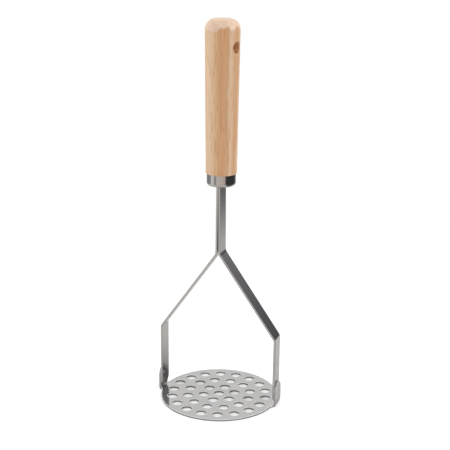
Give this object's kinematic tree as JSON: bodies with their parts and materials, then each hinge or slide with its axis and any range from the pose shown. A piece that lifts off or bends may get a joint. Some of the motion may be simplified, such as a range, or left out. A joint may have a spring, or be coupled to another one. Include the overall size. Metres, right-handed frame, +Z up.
{
  "type": "potato masher",
  "caption": "Wooden-handled potato masher: a perforated round steel plate on two bent steel strips that meet in a ferrule under a turned handle with a hanging hole.",
  "frame": {"origin": "centre of the mashing plate's underside", "axes": "+Z up the handle, +X from the plate's centre to the right leg"},
  "size_m": [0.0914, 0.086, 0.2765],
  "materials": {
    "plate_steel": "polished sheet with a soft sheen",
    "strip_steel": "polished strip",
    "ferrule_steel": "polished drawn cup",
    "handle_wood": "pale hardwood with a thin satin oil",
    "adhesive": "cured resin"
  },
  "bodies": {
    "root": {"mashing_plate": "plate_steel", "left_strip": "strip_steel", "right_strip": "strip_steel", "left_foot_welds": "strip_steel", "right_foot_welds": "strip_steel", "tang_welds": "strip_steel", "ferrule": "ferrule_steel", "handle": "handle_wood", "tang_adhesive": "adhesive"}
  },
  "joints": []
}
